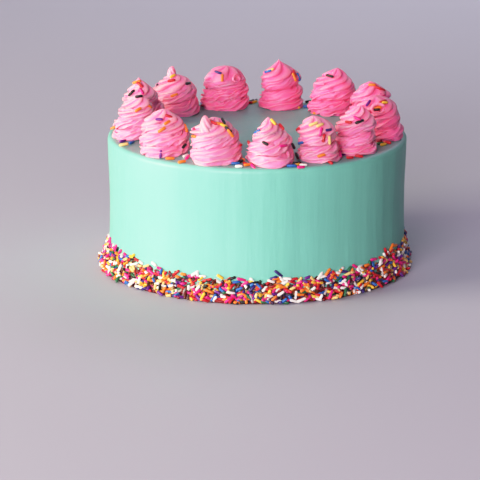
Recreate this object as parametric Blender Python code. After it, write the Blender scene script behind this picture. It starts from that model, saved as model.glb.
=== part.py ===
"""A round birthday cake: smooth mint buttercream, a ring of thirteen piped pink swirls and rainbow sprinkles.

Metres, +Z up. The origin is the centre of the flat base that the cake stands on, and -Y is its front.
Every swirl is a solid of its own that stands on the cake. Sprinkles are fused to what they lie on.
"""

import math
import random

import bmesh
import bpy
from mathutils import Matrix, Vector

MM = 0.001

# The cake
CAKE_RADIUS = 104.6 * MM
CAKE_HEIGHT = 91.5 * MM
TOP_EDGE_RADIUS = 3.2 * MM
WAIST_DEPTH = 0.9 * MM
SIDE_WAVE = 0.35 * MM
CAKE_SEGMENTS = 72

# The bank of sprinkles piled round the foot of the cake
BANK_HEIGHT = 14.0 * MM
BANK_DEPTH = 6.6 * MM
BANK_UNEVENNESS = 0.9 * MM
BANK_ROWS = (0.0, 0.22, 0.6)

# Where the bank stands higher, and where it is deeper or closer to the side: the azimuth in
# degrees, the half width of the change in degrees, and the change as a share
BANK_RISES = ((63.0, 26.0, 0.36), (-62.0, 20.0, 0.22))
BANK_DEPTHS = ((95.0, 32.0, -0.5), (-98.0, 20.0, -0.2), (-64.0, 16.0, 0.2))

# One sprinkle
SPRINKLE_LENGTH = 5.4 * MM
SPRINKLE_LENGTH_SPREAD = 1.0 * MM
SPRINKLE_RADIUS = 0.95 * MM
SPRINKLE_SIDES = 5
SPRINKLE_END = 0.55 * MM

# How many sprinkles are fused on
BANK_SPRINKLE_COLUMNS = 46
BANK_SPRINKLE_ROWS = (0.12, 0.47, 0.86)
TOP_SPRINKLES = 30
SWIRL_SPRINKLES = 4

# The piped swirls
SWIRL_STEPS = 14
SWIRL_TURNS = 2.75
SWIRL_LANES = (0.0, 1.0, 0.45, 0.94)
SWIRL_GROOVE = 2.1 * MM
SWIRL_BODY_SHARE = 0.93
SWIRL_FLARE = 0.11
SWIRL_FLARE_HEIGHT = 0.3
SWIRL_CLEARANCE = 0.3 * MM
SPRINKLE_TO_SWIRL = 3.9 * MM

# One row for each swirl, counter-clockwise from the front seen from above: its azimuth from the front
# towards +X in degrees; in millimetres, how far out on the cake it stands, its base radius, its
# height, and how far its tip leans to +X; then how full its body is, and how pointed its top
SWIRLS = (
    (6.3, 84.3, 18.6, 30.7, -1.4, 2.7, 1.1),
    (28.6, 85.0, 15.3, 29.4, -2.0, 6.0, 0.75),
    (50.7, 85.2, 15.4, 32.0, 3.0, 5.0, 1.0),
    (80.5, 85.6, 17.0, 29.8, -1.4, 7.5, 0.65),
    (114.0, 86.0, 15.6, 29.4, 3.4, 5.0, 0.8),
    (140.5, 84.4, 16.9, 32.8, 3.4, 5.0, 0.9),
    (168.4, 87.0, 17.4, 35.4, -1.5, 6.5, 2.2),
    (196.0, 86.2, 18.3, 30.4, -0.2, 6.5, 0.6),
    (222.0, 86.5, 17.9, 28.5, -1.5, 4.6, 0.72),
    (250.0, 86.5, 16.4, 33.5, -2.2, 4.2, 1.45),
    (278.0, 86.5, 15.2, 30.5, 4.2, 3.8, 0.9),
    (312.2, 84.4, 18.4, 30.0, -2.0, 3.7, 0.8),
    (340.4, 83.3, 19.1, 29.3, 0.3, 4.4, 0.75),
)

MINT = (0.36, 0.76, 0.62, 1.0)
PINK = (0.92, 0.22, 0.42, 1.0)


def clear_scene():
    for thing in list(bpy.data.objects):
        bpy.data.objects.remove(thing, do_unlink=True)


def buttercream(name, colour):
    """Soft satin icing."""
    material = bpy.data.materials.new(name)
    material.use_nodes = True
    shader = material.node_tree.nodes["Principled BSDF"]
    shader.inputs["Base Color"].default_value = colour
    shader.inputs["Roughness"].default_value = 0.45
    shader.inputs["Metallic"].default_value = 0.0
    return material


def new_object(name, vertices, faces, collection=None):
    mesh = bpy.data.meshes.new(name)
    mesh.from_pydata([tuple(v) for v in vertices], [], faces)
    mesh.validate()
    made = bpy.data.objects.new(name, mesh)
    (collection or bpy.context.scene.collection).objects.link(made)
    return made


def smooth_shading(made, sharp_over_degrees=35.0):
    made.data.shade_smooth()
    made.data.set_sharp_from_angle(angle=math.radians(sharp_over_degrees))


def around(azimuth_degrees, distance, height):
    """The point at that azimuth from the front, turning towards +X."""
    angle = math.radians(azimuth_degrees)
    return Vector((distance * math.sin(angle), -distance * math.cos(angle), height))


# Sprinkles


def sprinkle(collection, centre, along, length):
    """A rod with pointed round ends, centred on a point and lying along a direction."""
    half = length / 2
    vertices = [(-half - SPRINKLE_END, 0.0, 0.0), (half + SPRINKLE_END, 0.0, 0.0)]
    for x in (-half, half):
        for side in range(SPRINKLE_SIDES):
            angle = 2 * math.pi * side / SPRINKLE_SIDES
            vertices.append((x, SPRINKLE_RADIUS * math.cos(angle), SPRINKLE_RADIUS * math.sin(angle)))
    left, right = 2, 2 + SPRINKLE_SIDES
    faces = []
    for side in range(SPRINKLE_SIDES):
        after = (side + 1) % SPRINKLE_SIDES
        faces.append((left + side, right + side, right + after, left + after))
        faces.append((0, left + side, left + after))
        faces.append((1, right + after, right + side))
    turn = along.to_track_quat("X", "Z").to_matrix().to_4x4()
    made = new_object("sprinkle", vertices, faces, collection)
    made.data.transform(Matrix.Translation(centre) @ turn)
    mend_normals(made)
    return made


def mend_normals(made):
    bm = bmesh.new()
    bm.from_mesh(made.data)
    bmesh.ops.recalc_face_normals(bm, faces=bm.faces)
    bm.to_mesh(made.data)
    bm.free()


def lying_direction(normal, rng, tilt_degrees):
    """A random direction in the surface, lifted a little out of it."""
    across = normal.orthogonal().normalized()
    in_surface = Matrix.Rotation(rng.uniform(0, 2 * math.pi), 3, normal) @ across
    lift = math.radians(rng.uniform(-tilt_degrees, tilt_degrees))
    return (in_surface * math.cos(lift) + normal * math.sin(lift)).normalized()


def random_length(rng):
    return SPRINKLE_LENGTH + rng.uniform(-1, 1) * SPRINKLE_LENGTH_SPREAD


def fuse(body, collection):
    """Joins everything in the collection to the body, then clears the collection away."""
    union = body.modifiers.new("sprinkles", "BOOLEAN")
    union.operation = "UNION"
    union.operand_type = "COLLECTION"
    union.collection = collection
    union.solver = "MANIFOLD"
    bpy.context.view_layer.objects.active = body
    bpy.context.view_layer.update()
    graph = bpy.context.evaluated_depsgraph_get()
    joined = bpy.data.meshes.new_from_object(body.evaluated_get(graph), depsgraph=graph)
    body.modifiers.clear()
    body.data = joined
    for thing in list(collection.objects):
        bpy.data.objects.remove(thing, do_unlink=True)
    bpy.data.collections.remove(collection)
    keep_largest_skin(body)


def keep_largest_skin(made):
    """Fills hollows sealed inside the solid and drops scraps that touch nothing."""
    bm = bmesh.new()
    bm.from_mesh(made.data)
    unseen = set(bm.faces)
    skins = []
    while unseen:
        skin = {unseen.pop()}
        edge_of_skin = set(skin)
        while edge_of_skin:
            beside = {near for face in edge_of_skin for edge in face.edges for near in edge.link_faces}
            edge_of_skin = beside & unseen
            unseen -= edge_of_skin
            skin |= edge_of_skin
        skins.append(skin)
    largest = max(skins, key=len)
    loose = [face for skin in skins if skin is not largest for face in skin]
    bmesh.ops.delete(bm, geom=loose, context="FACES")
    bm.to_mesh(made.data)
    bm.free()


def sprinkle_collection():
    collection = bpy.data.collections.new("sprinkles")
    bpy.context.scene.collection.children.link(collection)
    return collection


# The cake


def side_radius(azimuth_degrees, height):
    """The iced side: a slight waist, and long shallow waves left by the scraper."""
    share = height / CAKE_HEIGHT
    waist = WAIST_DEPTH * math.sin(math.pi * min(1.0, share)) ** 2
    angle = math.radians(azimuth_degrees)
    wave = SIDE_WAVE * (math.sin(3 * angle + 1.1) + 0.6 * math.sin(7 * angle + 2.0 * share))
    return CAKE_RADIUS - waist + wave * math.sin(math.pi * share)


def bells(azimuth_degrees, rows):
    """One plus a bell curve for each row of a table, round the cake."""
    total = 1.0
    for centre, width, change in rows:
        away = (azimuth_degrees - centre + 180) % 360 - 180
        total += change * math.exp(-((away / width) ** 2))
    return total


def bank_height(azimuth_degrees):
    return BANK_HEIGHT * bells(azimuth_degrees, BANK_RISES)


def bank_depth(azimuth_degrees):
    return BANK_DEPTH * bells(azimuth_degrees, BANK_DEPTHS)


def bank_radius(azimuth_degrees, share):
    """The bank of sprinkles: it runs out from the side towards the foot, in a hollow curve."""
    out = bank_depth(azimuth_degrees) * (1 - share) ** 1.25
    return side_radius(azimuth_degrees, share * bank_height(azimuth_degrees)) + out


def cake_rows():
    """The rings of the cake's skin from the base up, each a height and a radius for an azimuth."""
    rng = random.Random(11)
    rows = []
    rises = [bank_height(360.0 * i / CAKE_SEGMENTS) - BANK_HEIGHT for i in range(CAKE_SEGMENTS)]
    for share in BANK_ROWS:
        bumps = [rng.uniform(-1, 1) * BANK_UNEVENNESS for _ in range(CAKE_SEGMENTS)]
        lifts = [rng.uniform(-1, 1) * BANK_UNEVENNESS * (share > 0) + share * rise for rise in rises]
        rows.append((share * BANK_HEIGHT, lifts, lambda a, i, s=share, b=bumps: bank_radius(a, s) + b[i]))
    rows.append((BANK_HEIGHT, rises, lambda a, i: side_radius(a, bank_height(a))))
    level = [0.0] * CAKE_SEGMENTS
    for height in (CAKE_HEIGHT * 0.34, CAKE_HEIGHT * 0.66, CAKE_HEIGHT - TOP_EDGE_RADIUS):
        rows.append((height, level, lambda a, i, h=height: side_radius(a, h)))
    for turn in (45, 90):
        drop = TOP_EDGE_RADIUS * (1 - math.sin(math.radians(turn)))
        inset = TOP_EDGE_RADIUS * (1 - math.cos(math.radians(turn)))
        height = CAKE_HEIGHT - drop
        rows.append((height, level, lambda a, i, h=height, n=inset: side_radius(a, h) - n))
    return rows


def cake_body():
    vertices = []
    faces = []
    for height, lifts, radius in cake_rows():
        for i in range(CAKE_SEGMENTS):
            azimuth = 360.0 * i / CAKE_SEGMENTS
            vertices.append(around(azimuth, radius(azimuth, i), height + lifts[i]))
    rows = len(vertices) // CAKE_SEGMENTS
    for row in range(rows - 1):
        for i in range(CAKE_SEGMENTS):
            after = (i + 1) % CAKE_SEGMENTS
            low, high = row * CAKE_SEGMENTS, (row + 1) * CAKE_SEGMENTS
            faces.append((low + i, low + after, high + after, high + i))
    base_centre = len(vertices)
    vertices += [Vector((0, 0, 0)), Vector((0, 0, CAKE_HEIGHT))]
    top_row = (rows - 1) * CAKE_SEGMENTS
    for i in range(CAKE_SEGMENTS):
        after = (i + 1) % CAKE_SEGMENTS
        faces.append((base_centre, after, i))
        faces.append((base_centre + 1, top_row + i, top_row + after))
    return new_object("cake", vertices, faces)


def bank_sprinkles(collection, rng):
    """Rows of sprinkles staggered round the bank, each half sunk in it and tumbled its own way."""
    for row, share in enumerate(BANK_SPRINKLE_ROWS):
        for column in range(BANK_SPRINKLE_COLUMNS):
            step = column + 0.5 * (row % 2) + rng.uniform(-0.3, 0.3)
            azimuth = 360.0 * step / BANK_SPRINKLE_COLUMNS
            place = min(1.0, max(0.1, share + rng.uniform(-0.12, 0.12)))
            high = bank_height(azimuth)
            centre = around(azimuth, bank_radius(azimuth, place), place * high)
            slope = math.atan2(high, bank_depth(azimuth)) if share < 0.8 else math.radians(85)
            outward = around(azimuth, math.sin(slope), math.cos(slope)).normalized()
            along = lying_direction(outward, rng, 28)
            length = random_length(rng)
            centre += outward * SPRINKLE_RADIUS * 0.25
            lowest = centre.z - abs(along.z) * (length / 2 + SPRINKLE_END) - SPRINKLE_RADIUS
            centre.z += max(0.0, 0.15 * MM - lowest)
            sprinkle(collection, centre, along, length)


def top_sprinkles(collection, rng):
    """Sprinkles dropped on the flat top, between the swirls and clear of them."""
    placed = []
    while len(placed) < TOP_SPRINKLES:
        spot = around(rng.uniform(0, 360), rng.uniform(60 * MM, 99 * MM), CAKE_HEIGHT)
        near_swirl = min(
            (spot - around(azimuth, out * MM, CAKE_HEIGHT)).length - base * MM
            for azimuth, out, base, *_ in SWIRLS
        )
        near_other = min(((spot - other).length for other in placed), default=1.0)
        if not SPRINKLE_TO_SWIRL < near_swirl < 3 * SPRINKLE_TO_SWIRL or near_other < SPRINKLE_LENGTH:
            continue
        placed.append(spot)
        along = lying_direction(Vector((0, 0, 1)), rng, 4)
        centre = spot + Vector((0, 0, SPRINKLE_RADIUS * 0.35))
        sprinkle(collection, centre, along, random_length(rng))


def make_cake():
    body = cake_body()
    collection = sprinkle_collection()
    rng = random.Random(23)
    bank_sprinkles(collection, rng)
    top_sprinkles(collection, rng)
    fuse(body, collection)
    smooth_shading(body)
    body.data.materials.clear()
    body.data.materials.append(buttercream("mint_buttercream", MINT))


# The swirls


class Swirl:
    """One swirl's sizes in metres, and its outline."""

    def __init__(self, azimuth, out, base, height, lean, fullness, point):
        self.place = around(azimuth, out * MM, CAKE_HEIGHT + SWIRL_CLEARANCE)
        self.base = base * MM
        self.height = height * MM
        self.lean = lean * MM
        self.fullness = fullness
        self.point = point

    def width(self, share):
        """Its radius at a share of its height, as a share of its base radius."""
        flare = 1 - SWIRL_FLARE * min(1.0, share / SWIRL_FLARE_HEIGHT)
        return flare * max(0.0, 1 - share**self.fullness) ** self.point

    def skin(self, angle, z, depth):
        """The point of its skin at an angle and a height, cut a depth into its outline."""
        share = min(1.0, z / self.height)
        radius = self.base * self.width(share) - depth
        across = radius * math.cos(angle) + self.lean * share**2
        return Vector((across, radius * math.sin(angle), z))


def swirl_body(name, swirl, start):
    """A skin wound up a cone like a screw thread.

    The rope of icing climbs one rope height for each turn. Its skin has a few lanes that run along it:
    the groove against the turn below, and the ridges and hollows that the star nozzle leaves. The last
    lane of a turn is the first lane of the turn above, so the skin closes on itself.
    """
    lanes = len(SWIRL_LANES)
    last = round(SWIRL_TURNS * SWIRL_STEPS)
    end = last + SWIRL_STEPS

    def groove_height(step):
        climbed = max(0, step - SWIRL_STEPS) / (end - SWIRL_STEPS)
        return SWIRL_BODY_SHARE * swirl.height * climbed**0.92

    def lane_point(step, lane):
        low, high = groove_height(step), groove_height(step + SWIRL_STEPS)
        z = low + (high - low) * lane / lanes
        rope = min(1.0, (high - low) / (0.2 * swirl.height))
        depth = SWIRL_GROOVE * (1 - SWIRL_LANES[lane]) * (0.35 + 0.65 * rope)
        if step < SWIRL_STEPS:
            depth = SWIRL_GROOVE * 0.5 * (1 - SWIRL_LANES[lane] * rope)
        depth *= min(1.0, swirl.width(z / swirl.height) * 1.6)
        return swirl.skin(start + 2 * math.pi * step / SWIRL_STEPS, z, depth)

    vertices = [lane_point(0, 0)]
    index = {}
    for step in range(1, last + 1):
        for lane in range(lanes):
            if (step, lane) == (SWIRL_STEPS, 0):
                continue
            index[step, lane] = len(vertices)
            vertices.append(lane_point(step, lane))
    for step in range(last + 1, end + 1):
        index[step, 0] = len(vertices)
        vertices.append(lane_point(step, 0))
    index[0, 0] = index[SWIRL_STEPS, 0] = 0

    def at(step, lane):
        if lane == lanes:
            return index[step + SWIRL_STEPS, 0]
        return 0 if step == 0 else index[step, lane]

    tip = len(vertices)
    vertices.append(swirl.skin(0.0, swirl.height, 0.0))
    faces = [tuple(at(step, 0) for step in reversed(range(SWIRL_STEPS)))]
    for step in range(last):
        for lane in range(lanes):
            corners = (at(step, lane), at(step + 1, lane), at(step + 1, lane + 1), at(step, lane + 1))
            faces.append(tuple(dict.fromkeys(corners)))
    faces += [(index[step, 0], index[step + 1, 0], tip) for step in range(last, end)]
    faces += [(at(last, lane + 1), at(last, lane), tip) for lane in range(lanes)]
    made = new_object(name, vertices, faces)
    bm = bmesh.new()
    bm.from_mesh(made.data)
    bmesh.ops.triangulate(bm, faces=bm.faces)
    bm.to_mesh(made.data)
    bm.free()
    return made


def swirl_sprinkles(collection, swirl, rng):
    """A few sprinkles caught on the upper half of a swirl."""
    for number in range(SWIRL_SPRINKLES):
        angle = 2 * math.pi * (number + rng.uniform(0.1, 0.9)) / SWIRL_SPRINKLES
        z = swirl.height * rng.uniform(0.3, 0.82)
        on_skin = swirl.skin(angle, z, 0.25 * SWIRL_GROOVE)
        above = swirl.skin(angle, z + MM, 0.25 * SWIRL_GROOVE)
        level = Vector((-math.sin(angle), math.cos(angle), 0))
        normal = level.cross(above - on_skin).normalized()
        sprinkle(collection, on_skin, lying_direction(normal, rng, 12), random_length(rng))


def make_swirl(number, sizes, material):
    rng = random.Random(100 + number)
    swirl = Swirl(*sizes)
    body = swirl_body(f"swirl_{number:02d}", swirl, rng.uniform(0, 2 * math.pi))
    collection = sprinkle_collection()
    swirl_sprinkles(collection, swirl, rng)
    fuse(body, collection)
    smooth_shading(body)
    body.data.materials.clear()
    body.data.materials.append(material)
    body.location = swirl.place


def main():
    clear_scene()
    make_cake()
    pink = buttercream("pink_buttercream", PINK)
    for number, sizes in enumerate(SWIRLS, start=1):
        make_swirl(number, sizes, pink)


main()
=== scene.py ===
"""The looks of a mint birthday cake with piped pink swirls and rainbow sprinkles.

Metres, +Z up. The cake stands on z = 0 with its axis on the origin, and -Y is its front. An
azimuth is measured from the front towards +X.
"""

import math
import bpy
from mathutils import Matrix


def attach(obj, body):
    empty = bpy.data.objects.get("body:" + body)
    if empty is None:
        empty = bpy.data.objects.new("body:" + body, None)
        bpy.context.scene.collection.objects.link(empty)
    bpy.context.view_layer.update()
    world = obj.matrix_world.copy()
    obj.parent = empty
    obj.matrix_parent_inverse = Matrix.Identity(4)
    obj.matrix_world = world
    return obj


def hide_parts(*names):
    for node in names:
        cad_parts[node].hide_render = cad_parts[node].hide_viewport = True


bl_info = {
    "name": "Sprinkled Birthday Cake",
    "version": (1, 0, 0),
    "blender": (4, 5, 0),
    "location": "3D View > Sidebar > Cake",
    "description": "Ices a round cake, pipes a ring of swirls on it and scatters sprinkles",
    "category": "Object",
}

import bpy
import numpy as np
from bpy.props import FloatProperty, FloatVectorProperty, IntProperty, PointerProperty
from mathutils import Vector

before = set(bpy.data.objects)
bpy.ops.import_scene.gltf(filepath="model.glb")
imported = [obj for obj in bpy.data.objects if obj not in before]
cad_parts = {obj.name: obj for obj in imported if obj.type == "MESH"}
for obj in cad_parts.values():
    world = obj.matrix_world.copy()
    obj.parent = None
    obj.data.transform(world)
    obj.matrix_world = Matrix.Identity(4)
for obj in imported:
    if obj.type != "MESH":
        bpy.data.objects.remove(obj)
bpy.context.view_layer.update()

MM = 0.001
TURN = 2 * math.pi
UP = np.array([0.0, 0.0, 1.0])
GOLDEN_STEP = 0.6180339887

# The camera stands in front of the cake and looks a little down and to the left of its axis.
CAMERA_DISTANCE = 1.6605
CAMERA_HEIGHT = 0.4845
CAMERA_PITCH = math.radians(15.84)
CAMERA_YAW = math.radians(0.416)
CAMERA_LENS = 182.55
CAMERA_SENSOR = 36.0

# One row for each swirl, counter-clockwise from the front seen from above: its azimuth in degrees;
# in millimetres, how far out it stands, its base radius, its height, and how far it leans to +X;
# how full its body is, how pointed its top, its rope's turns and the turn that it starts at; and
# how far its tip is dragged aside in millimetres, and which way, in degrees from +X
SWIRLS = (
    (6.3, 84.3, 18.6, 30.7, -1.4, 2.7, 1.1, 2.9, 0.1, 0.8, 180),
    (28.6, 85.0, 15.3, 29.4, -2.0, 6.0, 0.75, 2.9, 0.55, 1.0, 180),
    (50.7, 85.2, 15.4, 32.0, 3.0, 5.0, 1.0, 3.0, 0.3, 1.0, 0),
    (80.5, 85.6, 17.0, 29.8, -1.4, 7.5, 0.65, 2.8, 0.85, 1.5, 200),
    (114.0, 86.0, 15.6, 29.4, 3.4, 5.0, 0.8, 2.8, 0.2, 1.5, 180),
    (140.5, 84.4, 16.9, 32.8, 3.4, 5.0, 0.9, 3.0, 0.65, 1.0, 0),
    (168.4, 87.0, 17.4, 35.4, -1.5, 6.5, 2.2, 2.9, 0.4, 0.5, 180),
    (196.0, 86.2, 18.3, 30.4, -0.2, 6.5, 0.6, 2.9, 0.05, 1.0, 0),
    (222.0, 86.5, 17.9, 28.5, -1.5, 4.6, 0.72, 2.8, 0.75, 0.5, 180),
    (250.0, 86.5, 16.4, 33.5, -2.2, 4.2, 1.45, 2.7, 0.5, 1.0, 180),
    (278.0, 86.5, 15.2, 30.5, 4.2, 3.8, 0.9, 2.9, 0.95, 1.0, 0),
    (312.2, 84.4, 18.4, 30.0, -2.0, 3.7, 0.8, 2.9, 0.15, 1.5, 0),
    (340.4, 83.3, 19.1, 29.3, 0.3, 4.4, 0.75, 2.9, 0.6, 1.0, 180),
)

# The rope: the share of the height where it runs out; in turns, how long it lies level, fills out
# and thins out at its end; its rings in a turn, and the points of a ridge
ROPE_END = 0.7
ROPE_LEVEL, ROPE_START, ROPE_FADE = 0.7, 0.1, 0.7
ROPE_RINGS, RIDGE_POINTS = 90, 8

# How much narrower than its base a swirl is, and from what share of its height
FLARE, FLARE_TOP = 0.11, 0.3

# The core under the rope, as a share of the outline, and from where and how fast it opens out
CORE, CORE_TOP, CORE_FADE = 0.7, 0.36, 0.26

# How many turns the folds wind up the tip at first, and how that eases off to the point
FOLD_TURNS, FOLD_EASING = 9.5, 6.5

ROPE_SEED, TIP_SEED = 200, 400

# Peaks that the nozzle pulled out of a swirl: its number, the azimuth and share of its height where
# the peak is rooted; in millimetres, its radius, rise, and drift along X and Y; and how blunt it is
PEAKS = (
    (13, -38, 0.8, 4.6, 8.0, -0.8, 3.5, 0.55),
    (9, -75, 0.96, 3.5, 6.8, 0.6, 0.0, 0.45),
)

# Lumps and hollows in a swirl: its number, the lump's azimuth and share of the height, how far it
# stands out in millimetres, and its half width in degrees and in shares of the height
LUMPS = (
    (13, -88, 0.67, 1.8, 20, 0.05), (13, 80, 0.72, -2.4, 40, 0.14), (12, -50, 0.76, 1.6, 30, 0.08),
    (12, 60, 0.8, 1.6, 32, 0.1), (11, -60, 0.66, 1.6, 30, 0.08), (11, 70, 0.8, 1.4, 36, 0.08),
    (10, -60, 0.62, 1.2, 40, 0.1), (9, -92, 0.62, 3.2, 30, 0.07), (9, 85, 0.74, -2.2, 36, 0.14),
    (8, 60, 0.72, 1.2, 40, 0.12), (8, 36, 0.76, -3.4, 15, 0.07), (8, -60, 0.6, 1.0, 40, 0.1),
    (7, -78, 0.68, 1.5, 40, 0.15), (7, 76, 0.69, 2.0, 38, 0.15), (6, -70, 0.7, 2.2, 32, 0.07),
    (6, -48, 0.87, -2.6, 26, 0.05), (6, -85, 0.46, 0.8, 36, 0.1), (6, 75, 0.66, 1.6, 36, 0.1),
    (5, 72, 0.72, 3.6, 34, 0.1), (5, -70, 0.62, 1.0, 40, 0.1), (4, -80, 0.78, 2.0, 40, 0.1),
    (4, -2, 0.78, -4.2, 20, 0.09), (4, 80, 0.3, 1.2, 36, 0.1), (3, -70, 0.62, 1.2, 26, 0.06),
    (3, 55, 0.64, 1.8, 28, 0.07), (2, -72, 0.7, 2.0, 30, 0.08), (2, 60, 0.74, 2.2, 32, 0.09),
    (1, -72, 0.42, 1.8, 34, 0.1), (1, 62, 0.58, 1.0, 34, 0.08),
)

# Open curls, where the rope's edge came away: the swirl's number, the azimuth and share of its
# height where the curl lies; and in millimetres, the radius of the curl and of its edge
CURLS = (
    (4, -2, 0.78, 5.0, 1.6),
    (8, 36, 0.76, 3.4, 1.2),
)

# Sprinkles on the swirls: each one's kind, azimuth round its swirl in degrees, share of the height
# and spin in degrees. Each swirl has a few more at random on its far side.
FAR_SIDE_SPRINKLES = 4
SWIRL_SPRINKLES = {
    1: (
        ("blue", -60, 0.7, 45), ("yellow", 44, 0.9, 98), ("black", -15, 0.51, -25),
        ("pink", 34, 0.45, 0), ("black", 74, 0.38, -62), ("black", 76, 0.16, -66),
        ("red", 85, 0.78, 60), ("red", -80, 0.45, 0),
    ),
    2: (
        ("blue", -55, 0.43, 20), ("indigo", 40, 0.74, 0), ("cream", 35, 0.52, 90),
        ("orange", 8, 0.19, 15), ("red", 18, 0.58, 75), ("pink", 12, 0.72, 70),
        ("red", -80, 0.7, 30), ("cream", -12, 0.87, 30), ("cream", 15, 0.85, 20),
        ("pink", 88, 0.1, 40),
    ),
    3: (("red", -32, 0.7, 0), ("pink", -3, 0.78, -30), ("black", 6, 0.72, 20)),
    4: (
        ("violet", -38, 0.88, 85), ("black", -8, 0.77, 5), ("orange", -4, 0.81, 8),
        ("yellow", 24, 0.9, 0), ("red", 20, 0.92, 20),
    ),
    5: (
        ("orange", -2, 0.94, 0), ("red", 35, 0.88, -40), ("red", 50, 0.84, -40),
        ("pink", 45, 0.72, -20),
    ),
    6: (("black", -28, 0.86, -10),),
    7: (
        ("blue", -58, 0.76, 30), ("cream", -50, 0.79, 40), ("orange", 48, 0.66, 90),
        ("red", 60, 0.72, 60), ("blue", 70, 0.64, 80),
    ),
    8: (("indigo", -25, 0.9, -15), ("orange", -6, 0.8, 90)),
    9: (
        ("yellow", -22, 0.96, 60), ("red", -18, 0.88, 20), ("black", -75, 0.68, -40),
        ("orange", -5, 0.56, 20), ("black", 50, 0.8, 0),
    ),
    10: (
        ("red", -2, 0.86, -45), ("orange", -42, 0.9, 30), ("pink", 5, 0.74, -60),
        ("black", -40, 0.7, 60),
    ),
    11: (
        ("orange", 8, 0.7, 30), ("black", 0, 0.95, 10), ("orange", 62, 0.74, -55),
    ),
    12: (
        ("violet", -12, 0.82, 0), ("red", 34, 0.87, -35), ("orange", -3, 0.62, 35),
        ("orange", 16, 0.76, 30), ("orange", 82, 0.56, 80), ("black", 52, 0.22, 22),
        ("violet", -7, 0.09, 86),
    ),
    13: (
        ("orange", 18, 0.9, -15), ("red", -12, 0.92, -30), ("yellow", 34, 0.86, -40),
        ("black", 42, 0.78, -60), ("orange", 44, 0.7, -70), ("orange", -63, 0.6, 6),
        ("red", 85, 0.36, -12), ("black", 52, 0.93, 60),
    ),
}

# Sprinkles on the flat top: each one's kind, its place along X and Y in millimetres, and in degrees
# its spin and how far it tips over the edge
TOP_SPRINKLES = (
    ("violet", -92.6, -29.4, 50, 0), ("cream", -91.4, -39.5, 10, 10),
    ("blue", -86.3, -33.1, 62, 0), ("orange", -58.3, -78.5, 0, 0),
    ("orange", -50.1, -87.8, 18, 10), ("pink", -46.8, -75.9, 72, 10),
    ("white", -48.0, -71.5, 60, 0), ("orange", -101.2, 13.2, 80, 30),
    ("violet", -39.6, 92.2, 0, 0), ("black", -4.2, 97.8, 60, 0), ("yellow", -2.3, 94.7, 50, 0),
    ("red", -6.3, 92.0, 20, 0), ("black", -1.0, 99.5, 80, 0), ("blue", -14.3, -92.1, 0, 0),
    ("black", -10.9, -86.3, 60, 0), ("orange", -9.9, -81.5, -60, 0), ("red", -8.1, -92.8, -70, 0),
    ("white", -12.1, -99.9, 0, 10), ("pink", -2.7, -99.5, -60, 30), ("orange", -6.0, -95.5, 30, 0),
    ("blue", 22.9, -98.6, 0, 0), ("black", 26.4, -91.3, 10, 0), ("yellow", 26.6, -95.4, 50, 0),
    ("white", 30.6, -96.4, 0, 0), ("pink", 28.9, -101.4, 0, 20), ("red", 48.6, -88.9, -50, 10),
    ("violet", 57.4, -65.3, 0, 0), ("red", 68.5, -71.3, 0, 10), ("red", 62.2, -75.3, 20, 10),
    ("red", 84.0, -30.6, 60, 0), ("yellow", 86.4, -37.8, 40, 0), ("red", 89.3, -32.5, -30, 0),
    ("green", 84.6, -35.0, 10, 0), ("yellow", 28.0, 76.2, 0, 0), ("black", 30.3, 78.3, 60, 0),
    ("blue", 36.5, 80.3, 0, 0), ("black", 37.5, 96.3, 40, 0), ("orange", 43.1, 57.7, 0, 0),
    ("red", 45.4, 59.0, 30, 0), ("pink", 53.5, 54.2, 0, 0), ("red", 9.5, 76.3, 0, 0),
)

# Where the bank round the foot stands higher, and where it is deeper or closer to the side: the
# azimuth in degrees, the half width of the change in degrees, and the change as a share
BANK_RISES = ((63, 26, 0.36), (-62, 20, 0.22))
BANK_DEPTHS = ((95, 32, -0.5), (-98, 20, -0.2), (-64, 16, 0.2))

# The power that makes the bank's slope hollow, and how deep the icing lies under its foot
BANK_BEND, BANK_SUNK = 1.25, 1.5 * MM

# How ragged the bank's upper edge is, and how much denser it is low down; the shares of sprinkles
# that stuck above it, rolled out and lie at any angle; the lowest layer, the depth of all and the
# reach of those that rolled out; and how far the rest turn and lift
BANK_RAGGED, BANK_CROWDING = 0.09, 1.12
STRAY_SHARE, FALLEN_SHARE, ASKEW_SHARE = 0.004, 0.3, 0.25
LAYER_LOW, LAYER_DEPTH, FALLEN_REACH = -0.9 * MM, 2.9 * MM, 2.4 * MM
TURN_SPREAD, LIFT_SPREAD = 0.6, math.radians(24)

# How steep the bank is at its foot, and how much steeper at its top
STEEP_FOOT, STEEP_GAIN = math.radians(58), math.radians(30)

# The rings of a rod: which end of it they belong to, how far along from there, and their radius
ROD_RINGS = ((-1, -0.75, 0.62), (-1, -0.2, 1.0), (1, 0.2, 1.0), (1, 0.75, 0.62))

# The icing's rings behind the bank, up the side, over the edge and over the top, and their points
BANK_RINGS, SIDE_RINGS, EDGE_RINGS, TOP_RINGS = 8, 40, 9, 34
ICING_COLUMNS = 320
INNERMOST, TOP_WAVE = 0.02, 0.12 * MM

# Each kind of sprinkle: its colour, and its share of the bank round the foot
SPRINKLE_KINDS = {
    "white": ((0.80, 0.75, 0.70), 0.155),
    "cream": ((0.77, 0.50, 0.17), 0.10),
    "yellow": ((0.80, 0.43, 0.035), 0.08),
    "orange": ((0.78, 0.165, 0.015), 0.125),
    "red": ((0.46, 0.008, 0.016), 0.14),
    "pink": ((0.66, 0.011, 0.17), 0.14),
    "violet": ((0.12, 0.012, 0.19), 0.045),
    "indigo": ((0.03, 0.012, 0.12), 0.05),
    "blue": ((0.015, 0.10, 0.36), 0.07),
    "green": ((0.015, 0.11, 0.04), 0.04),
    "black": ((0.005, 0.005, 0.005), 0.04),
}

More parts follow.
